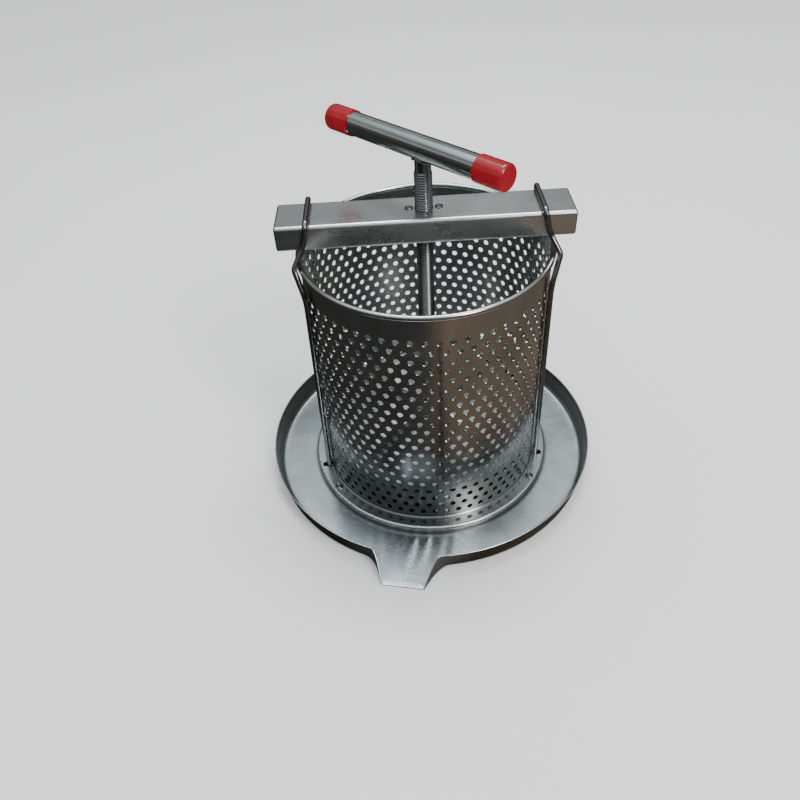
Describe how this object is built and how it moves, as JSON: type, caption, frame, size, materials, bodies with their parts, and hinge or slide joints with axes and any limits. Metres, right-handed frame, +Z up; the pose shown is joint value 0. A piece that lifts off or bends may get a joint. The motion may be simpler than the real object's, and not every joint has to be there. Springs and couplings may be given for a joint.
{
  "type": "basket wine press",
  "caption": "Screw press with a perforated sheet-metal basket on a spouted drip tray, a crossbar held down by swinging wire bails, and a T-handle.",
  "frame": {"origin": "centre of the drip tray's flat underside", "axes": "+Z up along the screw, +X along the crossbar, -Y towards the spout side, which is the front"},
  "size_m": [0.302, 0.3197, 0.3124],
  "materials": {
    "tray_steel": "satin rolled sheet",
    "disc_steel": "satin rolled sheet",
    "basket_steel": "bright rolled sheet, perforated",
    "wire_steel": "drawn wire",
    "bar_steel": "brushed tube",
    "nut_steel": "machined",
    "rivet_steel": "bright",
    "plate_steel": "satin plate",
    "screw_steel": "bright plated thread",
    "handle_steel": "polished tube",
    "red_vinyl": "glossy dipped vinyl",
    "bronze": "turned"
  },
  "bodies": {
    "press_frame": {"tray": "tray_steel", "base_disc": "disc_steel", "disc_rivets": "rivet_steel", "basket_shell": "basket_steel", "rim_wire": "wire_steel", "crossbar": "bar_steel", "bar_end_left": "bar_steel", "bar_end_right": "bar_steel", "screw_nut": "nut_steel", "nut_rivets": "rivet_steel"},
    "left_bail": {"bail_left": "wire_steel"},
    "right_bail": {"bail_right": "wire_steel"},
    "plate": {"press_plate": "plate_steel", "plate_ribs": "plate_steel", "swivel_socket": "nut_steel", "socket_rivets": "rivet_steel", "swivel_pins": "rivet_steel", "thrust_washer": "bronze"},
    "spindle": {"screw": "screw_steel", "handle_tube": "handle_steel", "handle_cap_left": "red_vinyl", "handle_cap_right": "red_vinyl"}
  },
  "joints": [
    {"name": "plate_lift", "type": "slide", "parent": "press_frame", "child": "plate", "axis": [0, 0, 1], "range_m": [-0.0301, 0.1701]},
    {"name": "screw_turn", "type": "hinge", "parent": "plate", "child": "spindle", "pos_m": [0, 0, 0.25], "axis": [0, 0, 1], "range_deg": [-5400, 30600]},
    {"name": "left_bail_swing", "type": "hinge", "parent": "press_frame", "child": "left_bail", "pos_m": [-0.0988, 0, 0.0037], "axis": [0, -1, 0], "range_deg": [0, 35]},
    {"name": "right_bail_swing", "type": "hinge", "parent": "press_frame", "child": "right_bail", "pos_m": [0.0988, 0, 0.0037], "axis": [0, 1, 0], "range_deg": [0, 35]}
  ],
  "couplings": [
    {"joint": "plate_lift", "follows": "screw_turn", "m_per_rad": 0.00031831}
  ]
}
